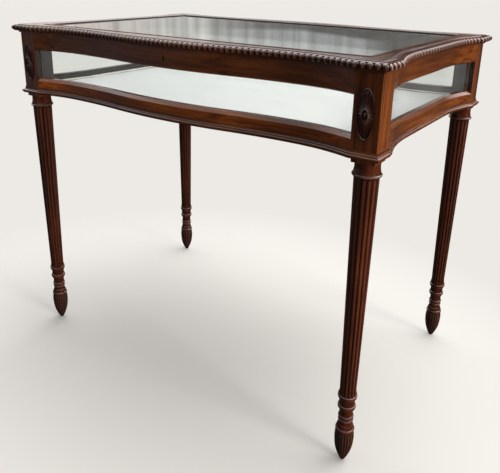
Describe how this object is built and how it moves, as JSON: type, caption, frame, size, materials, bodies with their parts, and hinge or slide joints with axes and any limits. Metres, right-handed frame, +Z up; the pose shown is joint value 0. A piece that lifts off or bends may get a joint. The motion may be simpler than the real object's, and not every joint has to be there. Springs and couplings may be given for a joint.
{
  "type": "collectors display table",
  "caption": "Glazed display table: shallow lined case with serpentine long sides, carved corner blocks, reeded tapering legs and a hinged glass lid with a gadrooned edge.",
  "frame": {"origin": "on the floor, under the middle of the table", "axes": "+X to the right along the long front with the lock, +Y from front to back, +Z up"},
  "size_m": [0.906, 0.5898, 0.7602],
  "materials": {
    "mahogany": "French-polished red mahogany, darkened with age",
    "plain_wood": "unpolished secondary wood",
    "glass": "clear, slightly green",
    "lining": "pale silk, matt",
    "lining_border": "pale silk cord edging",
    "brass": "aged brass",
    "steel": "dull steel"
  },
  "bodies": {
    "case": {"base_moulding_back": "mahogany", "base_moulding_front": "mahogany", "base_moulding_left": "mahogany", "base_moulding_right": "mahogany", "floor_board": "plain_wood", "floor_lining": "lining", "floor_screws": "steel", "glass_back": "glass", "glass_front": "glass", "glass_left": "glass", "glass_right": "glass", "glazing_beads_back": "mahogany", "glazing_beads_front": "mahogany", "glazing_beads_left": "mahogany", "glazing_beads_right": "mahogany", "hinge_case_leaf_left": "brass", "hinge_case_leaf_right": "brass", "hinge_case_screws": "brass", "hinge_pin_left": "brass", "hinge_pin_right": "brass", "keyhole_escutcheon": "brass", "leg_back_left": "mahogany", "leg_back_right": "mahogany", "leg_front_left": "mahogany", "leg_front_right": "mahogany", "lining_board": "plain_wood", "lining_border": "lining_border", "lock_case": "brass", "lower_rail_back": "mahogany", "lower_rail_front": "mahogany", "lower_rail_left": "mahogany", "lower_rail_right": "mahogany", "patera_back_left": "mahogany", "patera_back_right": "mahogany", "patera_front_left": "mahogany", "patera_front_right": "mahogany", "upper_rail_back": "mahogany", "upper_rail_front": "mahogany", "upper_rail_left": "mahogany", "upper_rail_right": "mahogany"},
    "lid": {"hinge_lid_leaf_left": "brass", "hinge_lid_leaf_right": "brass", "hinge_lid_screws": "brass", "lid_corner_tongues": "plain_wood", "lid_edge_moulding_back": "mahogany", "lid_edge_moulding_front": "mahogany", "lid_edge_moulding_left": "mahogany", "lid_edge_moulding_right": "mahogany", "lid_glass": "glass", "lid_glass_beads": "mahogany", "lid_member_back": "mahogany", "lid_member_front": "mahogany", "lid_member_left": "mahogany", "lid_member_right": "mahogany", "link_plate": "brass", "link_plate_screws": "brass"},
    "lock_bolt": {"lock_bolt": "brass"}
  },
  "joints": [
    {"name": "lid_hinge", "type": "hinge", "parent": "case", "child": "lid", "pos_m": [0, 0.281, 0.7422], "axis": [-1, 0, 0], "range_deg": [0, 100]},
    {"name": "lock_bolt_slide", "type": "slide", "parent": "case", "child": "lock_bolt", "axis": [1, 0, 0], "range_m": [0, 0.008]}
  ]
}
